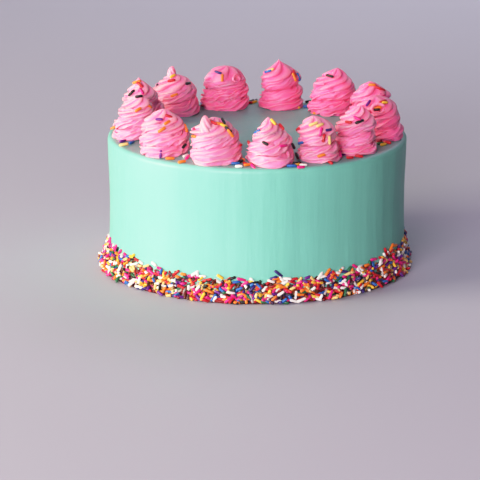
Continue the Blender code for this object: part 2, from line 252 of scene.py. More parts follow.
# Where the painted shade behind the bank ends, how far that wavers and how fast it fades; where the
# top's painted bounce light starts; and the X + Y at which painted shade starts to deepen the
# swirls
BANK_SHADE_TOP, BANK_SHADE_WAVER, BANK_SHADE_SLOPE = 8.0 * MM, 4.0 * MM, 700
CROWN_START, CROWN_SLOPE = 90.5 * MM, 1200
SHADED_SIDE_START, SHADED_SIDE_SLOPE = -38.0 * MM, 10

# What a colour is multiplied by for the painted bounce light on the top, the painted shade on the
# swirls at the back and right, and the painted shade deep in the bank
CROWN_PAINTED_BOUNCE = (1.08, 0.84, 0.97)
BACK_RIGHT_PAINTED_SHADE = (1.0, 0.54, 0.74)
DEEP_PAINTED_SHADE = (0.10, 0.04, 0.05)


# Meshes


def mesh_piece(name, points, faces, material, painted_light=None):
    """A smooth object from points, a list of arrays of faces, and each point's painted light, 0 to
    1.
    """
    mesh = bpy.data.meshes.new(name)
    corners = np.concatenate([block.ravel() for block in faces])
    totals = np.concatenate([np.full(len(block), block.shape[1]) for block in faces])
    starts = np.concatenate([[0], np.cumsum(totals)[:-1]])
    mesh.vertices.add(len(points))
    mesh.vertices.foreach_set("co", np.asarray(points, np.float32).ravel())
    mesh.loops.add(len(corners))
    mesh.loops.foreach_set("vertex_index", corners.astype(np.int32))
    mesh.polygons.add(len(totals))
    mesh.polygons.foreach_set("loop_start", starts.astype(np.int32))
    mesh.polygons.foreach_set("loop_total", totals.astype(np.int32))
    mesh.polygons.foreach_set("use_smooth", np.ones(len(totals), bool))
    mesh.update(calc_edges=True)
    if mesh.validate():
        raise RuntimeError(f"the mesh of {name} had broken faces")
    if painted_light is not None:
        values = mesh.attributes.new("painted_light", "FLOAT", "POINT").data
        values.foreach_set("value", painted_light.astype(np.float32))
    mesh.materials.append(material)
    piece = bpy.data.objects.new(name, mesh)
    bpy.context.scene.collection.objects.link(piece)
    return piece


def tube_faces(rows, columns):
    """Quads between neighbouring rows of a grid whose columns close on themselves."""
    row, column = np.meshgrid(np.arange(rows - 1), np.arange(columns), indexing="ij")
    after = (column + 1) % columns
    low, high = row * columns, (row + 1) * columns
    quads = np.stack([low + column, low + after, high + after, high + column], axis=-1)
    return quads.reshape(-1, 4)


def fan_faces(centre, first, columns, outward):
    """Triangles from one point to a closed row of points."""
    column = np.arange(columns)
    after = (column + 1) % columns
    ends = (first + column, first + after) if outward else (first + after, first + column)
    return np.stack([np.full(columns, centre), *ends], axis=-1)


def closed_tube(rows):
    """Points and faces of rings, shape (rings, points, 3), with both ends closed at a pole."""
    count, columns, _ = rows.shape
    points = np.concatenate([rows.reshape(-1, 3), rows[0].mean(0)[None], rows[-1].mean(0)[None]])
    faces = [
        tube_faces(count, columns),
        fan_faces(count * columns, 0, columns, False),
        fan_faces(count * columns + 1, (count - 1) * columns, columns, True),
    ]
    return points, faces


def outwards(azimuth):
    """Unit vectors pointing away from the axis at an array of azimuths in radians."""
    return np.stack([np.sin(azimuth), -np.cos(azimuth), np.zeros_like(azimuth)], axis=-1)


def unit(vectors):
    """An array of vectors, each scaled to length 1."""
    return vectors / np.linalg.norm(vectors, axis=-1, keepdims=True)


def spokes(angle):
    """Unit vectors at an array of angles counter-clockwise from +X."""
    return np.stack([np.cos(angle), np.sin(angle), np.zeros_like(angle)], axis=-1)


def waves(position, seed, count, slowest, fastest):
    """A smooth uneven signal: sines of seeded speeds and phases, over the root of their count."""
    rng = np.random.default_rng(seed)
    speeds = rng.uniform(slowest, fastest, count)
    phases = rng.uniform(0, TURN, count)
    signal = np.sin(np.multiply.outer(position, speeds) + phases)
    return signal.sum(-1) / math.sqrt(count)


def ring_waves(azimuth, seed, harmonics):
    """The same, closed on itself: each sine has a whole number of waves round the cake."""
    rng = np.random.default_rng(seed)
    phases = rng.uniform(0, TURN, len(harmonics))
    signal = np.sin(np.multiply.outer(azimuth, np.array(harmonics)) + phases)
    return signal.sum(-1) / math.sqrt(len(harmonics))


# Materials


class Signal:
    """A number socket that takes part in arithmetic, each operation one Math node."""

    def __init__(self, finish, socket):
        self.finish = finish
        self.socket = socket

    def math(self, operation, first, second):
        node = self.finish.add("ShaderNodeMath", {"operation": operation}, {0: first, 1: second})
        return Signal(self.finish, node.outputs[0])

    def __add__(self, other):
        return self.math("ADD", self, other)

    def __sub__(self, other):
        return self.math("SUBTRACT", self, other)

    def __rsub__(self, other):
        return self.math("SUBTRACT", other, self)

    def __mul__(self, other):
        return self.math("MULTIPLY", self, other)

    def clamped(self):
        return self.math("MINIMUM", self.math("MAXIMUM", self, 0.0), 1.0)

    __radd__ = __add__
    __rmul__ = __mul__


class Finish:
    """One material: a Principled shader with uniform settings, and nodes for what varies."""

    def __init__(self, name, **settings):
        self.material = bpy.data.materials.new(name)
        self.material.use_nodes = True
        self.tree = self.material.node_tree
        self.shader = self.tree.nodes["Principled BSDF"]
        for setting, value in settings.items():
            self.shader.inputs[setting.replace("_", " ")].default_value = value
        self.place = self.add("ShaderNodeTexCoord").outputs["Object"]

    def add(self, kind, settings=None, sockets=None):
        """One node of a type, with its settings, then the values or links of its sockets."""
        node = self.tree.nodes.new(kind)
        for setting, value in (settings or {}).items():
            setattr(node, setting, value)
        for socket, value in (sockets or {}).items():
            self.feed(node.inputs[socket], value)
        return node

    def feed(self, socket, value):
        if isinstance(value, Signal):
            value = value.socket
        if isinstance(value, bpy.types.NodeSocket):
            self.tree.links.new(value, socket)
        else:
            socket.default_value = value

    def noise(self, size, detail=2.0, stretch=(1.0, 1.0, 1.0)):
        """Noise from 0 to 1 with blotches of about a size in metres, drawn out along an axis."""
        scale = [1 / (size * drawn) for drawn in stretch]
        scaled = self.add("ShaderNodeMapping", {}, {"Vector": self.place, "Scale": scale})
        sockets = {"Vector": scaled.outputs[0], "Scale": 1.0, "Detail": detail}
        return Signal(self, self.add("ShaderNodeTexNoise", {}, sockets).outputs["Fac"])

    def attribute(self, name):
        node = self.add("ShaderNodeAttribute", {"attribute_name": name})
        return Signal(self, node.outputs["Fac"])

    def axis(self, name):
        """The place along one of the object's axes, in metres."""
        node = self.add("ShaderNodeSeparateXYZ", {}, {"Vector": self.place})
        return Signal(self, node.outputs[name])

    def mix(self, share, first, second):
        """A colour between two colours."""
        node = self.add("ShaderNodeMix", {"data_type": "RGBA"}, {"Factor": share})
        self.feed(node.inputs[6], first)
        self.feed(node.inputs[7], second)
        return node.outputs[2]

    def mottled(self, tone, colour, change):
        """A colour that a tone takes from a share darker to the same share lighter."""
        return self.mix(tone, rgba(colour, 1 - change), rgba(colour, 1 + change))

    def set(self, socket, value):
        self.feed(self.shader.inputs[socket], value)

    def bump(self, height, distance, strength):
        sockets = {"Height": height, "Distance": distance, "Strength": strength}
        node = self.add("ShaderNodeBump", {}, sockets)
        self.set("Normal", node.outputs["Normal"])


def rgba(colour, gain=1.0):
    return (*(min(1.0, part * gain) for part in colour), 1.0)


def tinted(colour, tint):
    """A colour multiplied, channel by channel, by a tint that paints light and shade."""
    return [part * share for part, share in zip(colour, tint)]


def mint_finish(colour, bank_shade):
    """Scraped buttercream: satin, with faint upright scraper marks and fine pores.

    Behind the bank it has a dark maroon painted shade, where the gaps between sprinkles fall into
    shade. The flat top is greyer and pinker with painted bounce light from the swirls.
    """
    finish = Finish(
        "mint_buttercream",
        Subsurface_Weight=0.12,
        Subsurface_Scale=4.0 * MM,
        Subsurface_Radius=(0.7, 1.0, 0.8),
        Specular_IOR_Level=0.36,
    )
    cloud = finish.noise(45.0 * MM, detail=3.0)
    marks = finish.noise(6.0 * MM, stretch=(1.0, 1.0, 9.0))
    pores = finish.noise(1.1 * MM)
    tone = (cloud * 0.6 + marks * 0.4).clamped()
    height = finish.axis("Z")
    # Painted shade: dark maroon behind the bank, where the gaps between sprinkles fall into shade
    under = ((BANK_SHADE_TOP - height + BANK_SHADE_WAVER * (cloud - 0.5)) * BANK_SHADE_SLOPE).clamped()
    # Painted light: the flat top is tinted greyer and pinker, like pink light bounced from the
    # swirls
    crown = ((height - CROWN_START) * CROWN_SLOPE).clamped()
    side = finish.mottled(tone, colour, 0.07)
    top = finish.mottled(tone, tinted(colour, CROWN_PAINTED_BOUNCE), 0.07)
    finish.set("Base Color", finish.mix(under, finish.mix(crown, side, top), rgba(bank_shade)))
    finish.set("Roughness", 0.36 + 0.16 * cloud)
    finish.bump(marks * 1.5 + pores * 0.12 + cloud * 1.2, distance=0.4 * MM, strength=0.6)
    return finish.material


def pink_finish(light, deep):
    """Piped buttercream with a torn grain: painted shade deepens its creases, a painted highlight
    pales its crests.

    Painted shade makes the swirls at the back and on the right deeper pink.
    """
    finish = Finish(
        "pink_buttercream",
        Subsurface_Weight=0.6,
        Subsurface_Scale=3.5 * MM,
        Subsurface_Radius=(1.0, 0.35, 0.45),
        Specular_IOR_Level=0.4,
    )
    # Painted light: high on crests, a painted highlight, and low in creases, painted shade
    crest = finish.attribute("painted_light")
    cloud = finish.noise(9.0 * MM)
    grain = finish.noise(0.9 * MM, detail=3.0)
    # Painted shade: the swirls at the back and on the right are deeper pink, with dimmer crests
    shaded_side = finish.axis("Y") + finish.axis("X") - SHADED_SIDE_START
    shaded_side = (shaded_side * SHADED_SIDE_SLOPE).clamped()
    tone = ((crest * 0.8 + cloud * 0.4 - 0.12) * (1 - 0.6 * shaded_side)).clamped()
    creases = finish.mix(shaded_side, rgba(deep), rgba(tinted(deep, BACK_RIGHT_PAINTED_SHADE)))
    finish.set("Base Color", finish.mix(tone, creases, rgba(light)))
    finish.set("Roughness", 0.34 + 0.2 * cloud)
    finish.bump(grain + cloud * 0.8, distance=0.35 * MM, strength=0.45)
    return finish.material


def sprinkle_finish(name, colour):
    """Glazed sugar: glossy, uneven in tone, and darkened by painted shade where it lies deep in the
    bank.
    """
    finish = Finish(f"sugar_{name}", Specular_IOR_Level=0.3)
    tone = finish.noise(4.0 * MM, detail=1.0)
    glazed = finish.mottled(tone, colour, 0.2)
    # Painted shade: sprinkles deep in the bank are mixed towards a dark tint of their colour
    shaded = rgba(tinted(colour, DEEP_PAINTED_SHADE))
    finish.set("Base Color", finish.mix(finish.attribute("painted_light"), shaded, glazed))
    finish.set("Roughness", 0.26 + 0.14 * tone)
    finish.bump(finish.noise(0.7 * MM, detail=1.0), distance=0.1 * MM, strength=0.4)
    return finish.material


# Sizes and colours


def length_property(name, description, default):
    return FloatProperty(
        name=name, description=description, default=default, min=0.0, unit="LENGTH", precision=5
    )


def colour_property(name, description, default):
    return FloatVectorProperty(
        name=name, description=description, default=default, subtype="COLOR", min=0.0, max=1.0
    )


def power_property(name, description, default):
    return FloatProperty(name=name, description=description, default=default, subtype="POWER")


class CakeSizes(bpy.types.PropertyGroup):
    """The iced cake."""

    radius: length_property("Radius", "Radius of the iced side", 104.6 * MM)
    height: length_property("Height", "Height of the flat top", 91.5 * MM)
    edge_radius: length_property("Edge radius", "Roundness of the top edge", 3.2 * MM)
    waist: length_property("Waist", "How far the side draws in at half height", 1.0 * MM)
    unevenness: length_property("Unevenness", "Waves that the scraper left in the side", 0.3 * MM)
    colour: colour_property("Mint", "Colour of the icing", (0.15, 0.465, 0.365))
    # Colour of the painted shade behind the bank's sprinkles
    bank_shade: colour_property("Bank shade", "Colour of the icing behind the bank", (0.10, 0.012, 0.02))


class SwirlSizes(bpy.types.PropertyGroup):
    """The piped swirls."""

    rope_share: FloatProperty(
        name="Rope", description="Radius of the rope, as a share of a swirl's base", default=0.30
    )
    teeth: IntProperty(name="Teeth", description="Ridges round the piped rope", default=9, min=3)
    ridge_depth: length_property("Ridge depth", "Depth of the grooves between ridges", 1.9 * MM)
    folds: IntProperty(name="Folds", description="Deep folds round the tip", default=6, min=2)
    fold_depth: FloatProperty(
        name="Fold depth", description="Depth of a fold, as a share of the radius", default=0.42
    )
    # The pink runs between these: paler as a painted highlight on crests, deeper as painted shade
    # in creases
    light: colour_property("Light pink", "Colour of the crests", (1.0, 0.365, 0.415))
    deep: colour_property("Deep pink", "Colour of the creases", (1.0, 0.20, 0.43))


class SprinkleSizes(bpy.types.PropertyGroup):
    """The sprinkles."""

    length: length_property("Length", "Mean length of a sprinkle", 6.4 * MM)
    radius: length_property("Radius", "Radius of a sprinkle", 1.04 * MM)
    foot_height: length_property("Bank height", "Height of the bank round the foot", 14.0 * MM)
    foot_depth: length_property("Bank depth", "How far the bank stands out at its foot", 6.6 * MM)
    foot_count: IntProperty(
        name="Bank count", description="Sprinkles in the bank", default=2500, min=1
    )
    seed: IntProperty(name="Seed", description="Start of the random scatter", default=7)


class StageSettings(bpy.types.PropertyGroup):
    """The floor and the lights."""

    floor_colour: colour_property("Floor", "Colour of the pale floor", (0.41, 0.42, 0.485))
    key_power: power_property("Key", "Power of the key light", 66.0)
    fill_power: power_property("Fill", "Power of the front fill", 64.0)
    back_power: power_property("Back", "Power of the back lights", 13.0)
    sky_colour: colour_property("Room", "Colour of the room in reflections", (0.42, 0.39, 0.47))


# The icing


def side_radius(sizes, azimuth, height):
    """Cake radius less a waist that is a squared half sine up the side, plus ring waves."""
    share = np.clip(height / sizes.height, 0, 1)
    waist = sizes.waist * np.sin(math.pi * share) ** 2
    wave = ring_waves(azimuth, 3, (2, 3, 5, 9)) + 0.7 * ring_waves(azimuth, 4, (17, 26, 41))
    return sizes.radius - waist + sizes.unevenness * 0.5 * wave


def bells(azimuth, rows):
    """One plus, for each row, its change times e to the power -(degrees off / half width)²."""
    total = np.ones_like(azimuth)
    for centre, width, change in rows:
        off = (np.degrees(azimuth) - centre + 180) % 360 - 180
        total = total + change * np.exp(-((off / width) ** 2))
    return total


def bank_height(foot, azimuth):
    """The bank's height times its rises."""
    return foot.foot_height * bells(azimuth, BANK_RISES)


def bank_radius(sizes, foot, azimuth, share):
    """The side's radius plus the bank's depth there times (1 - share) to the power of its bend."""
    side = side_radius(sizes, azimuth, share * bank_height(foot, azimuth))
    return side + foot.foot_depth * bells(azimuth, BANK_DEPTHS) * (1 - share) ** BANK_BEND


def icing_rows(sizes, foot, azimuth):
    """Rings from under the cake up behind the bank and the side, over the edge and to the centre.

    Behind the bank they lie BANK_SUNK * (1 - share) under its slope. The edge is a quarter circle.
    """
    high = bank_height(foot, azimuth)
    rings = [(0.0, bank_radius(sizes, foot, azimuth, 0.0) * 0.5)]
    for share in np.linspace(0, 1, BANK_RINGS)[:-1]:
        radius = bank_radius(sizes, foot, azimuth, share) - BANK_SUNK * (1 - share)
        rings.append((share * high, radius))
    corner = sizes.height - sizes.edge_radius
    for share in np.linspace(0, 1, SIDE_RINGS)[:-1]:
        height = high + (corner - high) * share
        rings.append((height, side_radius(sizes, azimuth, height)))
    for turn in np.linspace(0, math.pi / 2, EDGE_RINGS):
        rim = side_radius(sizes, azimuth, corner) - sizes.edge_radius * (1 - math.cos(turn))
        rings.append((corner + sizes.edge_radius * math.sin(turn), rim))
    for share in np.linspace(1, INNERMOST, TOP_RINGS)[1:]:
        wave = TOP_WAVE * waves(share * 60 + 2 * np.sin(azimuth), 8, 4, 0.5, 2.0)
        rings.append((sizes.height + wave * min(1.0, 8 * (1 - share)), rim * share))
    level = np.zeros_like(azimuth)
    return np.array([
        outwards(azimuth) * radius[:, None] + UP * (level + height)[:, None]
        for height, radius in rings
    ])


class CAKE_OT_icing(bpy.types.Operator):
    """Spread the mint icing: rings up a waved side, over a round edge and over the top"""

    bl_idname = "cake.icing"
    bl_label = "Spread the Icing"

    def execute(self, context):
        sizes = context.scene.cake_sizes
        foot = context.scene.sprinkle_sizes
        azimuth = np.linspace(0, TURN, ICING_COLUMNS, endpoint=False)
        points, faces = closed_tube(icing_rows(sizes, foot, azimuth))
        piece = mesh_piece("icing", points, faces, mint_finish(sizes.colour, sizes.bank_shade))
        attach(piece, "root")
        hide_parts("cake")
        return {"FINISHED"}


# The swirls


class Swirl:
    """One swirl's sizes in metres, its lumps and its outline."""

    def __init__(self, number, top):
        azimuth, out, base, height, lean, self.fullness, self.point = SWIRLS[number - 1][:7]
        self.turns, self.start, hook, drag = SWIRLS[number - 1][7:]
        self.lumps = [row[1:] for row in LUMPS if row[0] == number]
        self.centre = outwards(math.radians(azimuth)) * out * MM + UP * top
        self.base = base * MM
        self.height = height * MM
        self.lean = lean * MM
        self.hook = hook * MM
        self.drag = math.radians(drag)

    def width(self, share):
        """(1 - share to the power of fullness) to the power of point, narrowed above the flare."""
        share = np.clip(share, 0, 1)
        narrowed = 1 - FLARE * np.minimum(1, share / FLARE_TOP)
        return narrowed * (1 - share**self.fullness) ** self.point

    def skin(self, azimuth, share):
        """A point on the outline at an azimuth round the swirl and a share of its height."""
        radius = self.base * self.width(share)
        point = outwards(azimuth) * radius[..., None]
        point[..., 0] += self.lean * share**2
        point[..., 2] += self.height * share
        return self.centre + point

    def normal(self, azimuth, share):
        """The outline's outward normal, from its slope over a short step."""
        step = 0.01
        change = self.width(share + step) - self.width(share - step)
        normal = outwards(azimuth)
        normal[..., 2] -= self.base * change / (2 * step * self.height)
        return unit(normal)

    def spot(self, azimuth, share):
        """The point and the normal at one azimuth in degrees and one share of the height."""
        place, up = np.radians([float(azimuth)]), np.array([share])
        return self.skin(place, up)[0], self.normal(place, up)[0]


def rope_path(swirl, rope_share, turn):
    """Height, distance from the axis and radius of the rope at an array of turns wound so far.

    It lies level at first, then climbs evenly and thins out. Its shoulder follows the outline, so
    its distance from the axis is the outline's radius less most of its own.
    """
    rise = np.clip((turn - ROPE_LEVEL) / (swirl.turns - ROPE_LEVEL), 0, 1)
    thick = swirl.base * rope_share
    low = 0.5 * thick
    height = low + (ROPE_END * swirl.height - low) * rise
    started = 0.4 + 0.6 * np.clip(turn / ROPE_START, 0, 1) ** 0.5
    ending = 1 - 0.85 * np.clip((turn - swirl.turns + ROPE_FADE) / ROPE_FADE, 0, 1) ** 1.5
    radius = thick * (1 - 0.15 * rise) * started * ending
    outline = swirl.base * swirl.width((height + 0.45 * radius) / swirl.height)
    return height, np.maximum(0, outline - 0.92 * radius), radius


def edge_drop(cake, points):
    """How far the round edge lies under the flat top: its radius less a quarter circle's height."""
    past = np.hypot(points[..., 0], points[..., 1]) - (cake.radius - cake.edge_radius)
    past = np.clip(past, 0, cake.edge_radius)
    return cake.edge_radius - np.sqrt(cake.edge_radius**2 - past**2)


def ridged(count, seed):
    """Ridges round a profile: 1 less |sin(count / 2 * angle)| to the power 0.8.

    Returns each point's angle, its height from 0 in a hollow to 1 on the sharp crest, the seeded
    depth of its ridge, about 1, and the ridge's number.
    """
    points = RIDGE_POINTS * count
    angle = np.linspace(0, TURN, points, endpoint=False)
    ridge = (np.arange(points) + RIDGE_POINTS // 2) // RIDGE_POINTS % count
    depths = np.random.default_rng(seed).uniform(0.2, 1.7, count)
    return angle, 1 - np.abs(np.sin(count / 2 * angle)) ** 0.8, depths[ridge], ridge


def lumps(swirl, angle, share):
    """How far the lumps stand out: for each, its height times bell curves in angle and in share.

    An oval of a twentieth of the base, which turns as it rises, is added to them.
    """
    oval = np.sin(2 * angle + 3 * share + 40 * swirl.start) * np.clip(4 * (1 - share), 0, 1)
    out = 0.05 * swirl.base * oval
    for azimuth, place, rise, wide, tall in swirl.lumps:
        turned = (angle - math.radians(azimuth - 90) + math.pi) % TURN - math.pi
        off = (turned / math.radians(wide)) ** 2 + ((share - place) / tall) ** 2
        out = out + rise * MM * np.exp(-off)
    return out


def swirl_rope(swirl, sizes, cake, seed):
    """The piped rope: a star profile carried up a spiral path, and its painted light: a highlight
    on the crests, shade in the hollows and between its turns.

    The profile's radius is the rope's, plus a ridge depth times (the ridge's height - 0.8). The
    nozzle doesn't turn while it goes round, so the ridges cross the rope aslant and rise along it.
    """
    turn = np.linspace(0, swirl.turns, round(swirl.turns * ROPE_RINGS))
    height, reach, radius = rope_path(swirl, sizes.rope_share, turn)
    angle = TURN * (swirl.start + turn)
    spoke = spokes(angle)
    sway = 0.6 * MM * waves(turn, seed, 6, 3.0, 22.0)
    path = spoke * (reach + lumps(swirl, angle, height / swirl.height) + sway)[:, None]
    path[:, 2] = height + 0.5 * MM * waves(turn, seed + 50, 5, 4.0, 15.0)
    along = unit(np.gradient(path, axis=0))
    out = unit(spoke - along * (spoke * along).sum(1, keepdims=True))
    over = np.cross(along, out)
    profile, crest, depths, ridge = ridged(sizes.teeth, seed)
    twist = 0.35 * waves(turn, seed + 90, 3, 1.0, 4.0) + TURN * (0.5 + 0.12 * turn) * turn
    mark = turn[:, None] + 0.9 * ridge
    profile = profile - twist[:, None] + 0.16 * waves(mark, seed + 95, 4, 10.0, 50.0)
    uneven = 1 + 0.25 * waves(turn, seed + 25, 4, 5.0, 21.0)
    swell = np.clip(1 + 0.55 * waves(mark, seed + 20, 6, 12.0, 80.0), 0.1, 2.3)
    depth = np.minimum(sizes.ridge_depth * uneven, 0.34 * radius)[:, None] * depths * swell
    depth = np.minimum(depth, 1.4 * sizes.ridge_depth)
    star = radius[:, None] + depth * (crest - 0.8)
    rows = (
        path[:, None]
        + (star * np.cos(profile))[..., None] * out[:, None]
        + (star * np.sin(profile))[..., None] * over[:, None]
    )
    rows[..., 2] = np.maximum(rows[..., 2], -edge_drop(cake, rows + swirl.centre))
    rows[..., 0] += swirl.lean * np.clip(rows[..., 2] / swirl.height, 0, 1) ** 2
    # Painted light: paler crests, and painted shade where the rope turns into the grooves between
    # turns and where ridges are shallow
    faces_out = np.clip(1.3 * np.cos(profile) - 0.1, 0.1, 1)
    return rows, faces_out * crest**0.8 * np.minimum(1, 0.45 + depth / sizes.ridge_depth / 2)


def swirl_tip(swirl, sizes, seed):
    """The tip, and the core under the rope: the outline with folds that wind up it.

    A fold's phase is folds * angle less the turns wound, turns * s - easing * s * s at s above
    half height, so the folds steepen to the point. The core opens out by a smooth step.
    """
    angle = np.linspace(0, TURN, 96, endpoint=False)[None, :]
    low, high = np.linspace(0.0, 0.5, 6)[:-1], 1 - 0.5 * np.linspace(1, 0, 64)[:-1] ** 1.3
    share = np.concatenate([low, high])[:, None]
    shown = np.clip((share - CORE_TOP) / CORE_FADE, 0, 1)
    radius = swirl.base * swirl.width(share) * (CORE + 0.29 * shown * shown * (3 - 2 * shown))
    radius = radius + lumps(swirl, angle, share) * shown
    wound = FOLD_TURNS * (share - 0.5) - FOLD_EASING * (share - 0.5) ** 2
    around = angle + 0.25 * waves(share * 9, seed + 5, 3, 0.5, 2.0)
    crest = np.abs(np.cos((sizes.folds * around - TURN * wound) / 2)) ** 0.65
    swell = 1 + 0.35 * np.sin(2 * angle + 8 * share + seed)
    depth = np.minimum(1.7 * sizes.ridge_depth, sizes.fold_depth * radius) * swell
    star = radius - depth * (1 - crest) * shown
    rows = star[..., None] * spokes(angle)
    rows[..., 2] = swirl.height * share
    rows[..., 0] += swirl.lean * share**2
    bend = swirl.hook * np.clip((share - 0.75) / 0.25, 0, 1) ** 2
    rows[..., 0] += bend * math.cos(swirl.drag)
    rows[..., 1] += bend * math.sin(swirl.drag)
    # Painted light: fold crests paler, painted shade in the folds and on the core
    return rows, crest**3 * shown


def peak(swirl, row, seed):
    """A pulled peak: a ridged cone, blunted, that drifts aside with the square of its length."""
    azimuth, share, radius, rise, aside, back, blunt = row[1:]
    root = swirl.spot(azimuth, share)[0] - swirl.centre
    inward = 0.45 * radius * MM * outwards(math.radians(azimuth))
    along = 1 - np.linspace(1, 0, 18)[:-1] ** 1.4
    angle = np.linspace(0, TURN, 40, endpoint=False)
    path = root - inward + np.outer(along**2, np.array([aside, back, 0]) * MM)
    path[:, 2] += (along * 1.3 - 0.3) * rise * MM
    thick = radius * MM * (1 - along**2) ** blunt
    crest = np.abs(np.cos(3 * (angle[None, :] + 1.8 * along[:, None] + seed))) ** 0.65
    star = thick[:, None] * (1 - 0.26 * (1 - crest))
    # Painted highlight on the peak's ridges
    return path[:, None] + star[..., None] * spokes(angle), 0.35 + 0.65 * crest**2


def curl(swirl, row, seed):
    """An open curl: a ring in the surface whose edge swells and thins, with painted shade inside
    it.
    """
    azimuth, share, ring, edge = row[1:]
    point, normal = swirl.spot(azimuth, share)
    level = unit(np.cross(UP, normal))
    rising = np.cross(normal, level)
    turn = np.linspace(0.1, 0.98, 30) * TURN
    angle = np.linspace(0, TURN, 10, endpoint=False)
    spoke = np.outer(np.cos(turn + seed), level) + 0.72 * np.outer(np.sin(turn + seed), rising)
    centre = point - swirl.centre + 0.5 * edge * MM * normal
    path = centre + ring * MM * (1 - 0.25 * turn[:, None] / TURN) * spoke
    thick = edge * MM * (0.75 + 0.3 * np.sin(turn + seed)) * np.sin(turn / 2) ** 0.3
    around = spoke[:, None] * np.cos(angle)[:, None] + normal * np.sin(angle)[:, None]
    rows = path[:, None] + thick[:, None, None] * around
    return rows[:, ::-1], np.broadcast_to(0.5 + 0.5 * np.sin(angle[::-1]), rows.shape[:2])


def pipe_swirl(number, sizes, cake, material):
    """One swirl's piece: its rope, its tip, and its peaks and curls."""
    swirl = Swirl(number, cake.height)
    tubes = [
        swirl_rope(swirl, sizes, cake, ROPE_SEED + 10 * number),
        swirl_tip(swirl, sizes, TIP_SEED + 10 * number),
    ]
    for shape, table in ((peak, PEAKS), (curl, CURLS)):
        tubes += [shape(swirl, row, seed) for seed, row in enumerate(table) if row[0] == number]
    points, faces, crests, count = [], [], [], 0
    for rows, crest in tubes:
        tube_points, blocks = closed_tube(rows)
        faces += [block + count for block in blocks]
        count += len(tube_points)
        points.append(tube_points)
        # Each tube's painted light, and its mean at the two poles
        crests += [crest.ravel(), [crest[0].mean(), crest[-1].mean()]]
    points = np.concatenate(points) + swirl.centre
    crests = np.concatenate(crests)
    piece = mesh_piece(f"piped_swirl_{number:02d}", points, faces, material, crests)
    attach(piece, "root")
    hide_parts(f"swirl_{number:02d}")


class CAKE_OT_swirls(bpy.types.Operator):
    """Pipe the ring of swirls: a star-shaped rope wound up to a tip"""

    bl_idname = "cake.swirls"
    bl_label = "Pipe the Swirls"

    def execute(self, context):
        sizes = context.scene.swirl_sizes
        material = pink_finish(sizes.light, sizes.deep)
        for number in range(1, len(SWIRLS) + 1):
            pipe_swirl(number, sizes, context.scene.cake_sizes, material)
        return {"FINISHED"}


# The sprinkles


def rod_template(sides):
    """A rod of unit radius about X, from -1 to 1, with round ends: points, ends and faces.

    The ends say which end a point belongs to, so that a length can be put between them.
    """
    angle = np.linspace(0, TURN, sides, endpoint=False)
    rings, ends = [], []
    for end, beyond, radius in ROD_RINGS:
        ring = [np.full(sides, beyond), radius * np.cos(angle), radius * np.sin(angle)]
        rings.append(np.stack(ring, axis=-1))
        ends.append(np.full(sides, float(end)))
    points, faces = closed_tube(np.array(rings))
    points[-2] = (-1.0, 0, 0)
    points[-1] = (1.0, 0, 0)
    return points, np.concatenate([*ends, [-1.0, 1.0]]), faces


def rods(centres, directions, lengths, radius):
    """Many sprinkles in one mesh: the rod turned along each direction and moved to each centre."""
    template, ends, faces = rod_template(sides=6)
    helper = np.where(np.abs(directions[:, 2:]) < 0.9, UP, (1.0, 0.0, 0.0))
    across = unit(np.cross(helper, directions))
    third = np.cross(directions, across)
    along = ends[None, :] * (lengths[:, None] / 2 - radius) + template[None, :, 0] * radius
    points = centres[:, None] + along[..., None] * directions[:, None]
    points += (template[:, 1] * radius)[:, None] * across[:, None]
    points += (template[:, 2] * radius)[:, None] * third[:, None]
    offsets = (np.arange(len(centres)) * len(template))[:, None, None]
    blocks = [(block[None] + offsets).reshape(-1, block.shape[1]) for block in faces]
    return points.reshape(-1, 3), blocks


def in_surface(normals, spin, lift):
    """Directions in a surface: level, turned by a spin about the normal, and lifted out of it."""
    up = np.where(np.abs(normals[:, 2:]) > 0.95, (0.0, 1.0, 0.0), UP)
    level = unit(np.cross(up, normals))
    rising = np.cross(normals, level)
    lying = level * np.cos(spin)[:, None] + rising * np.sin(spin)[:, None]
    return lying * np.cos(lift)[:, None] + normals * np.sin(lift)[:, None]


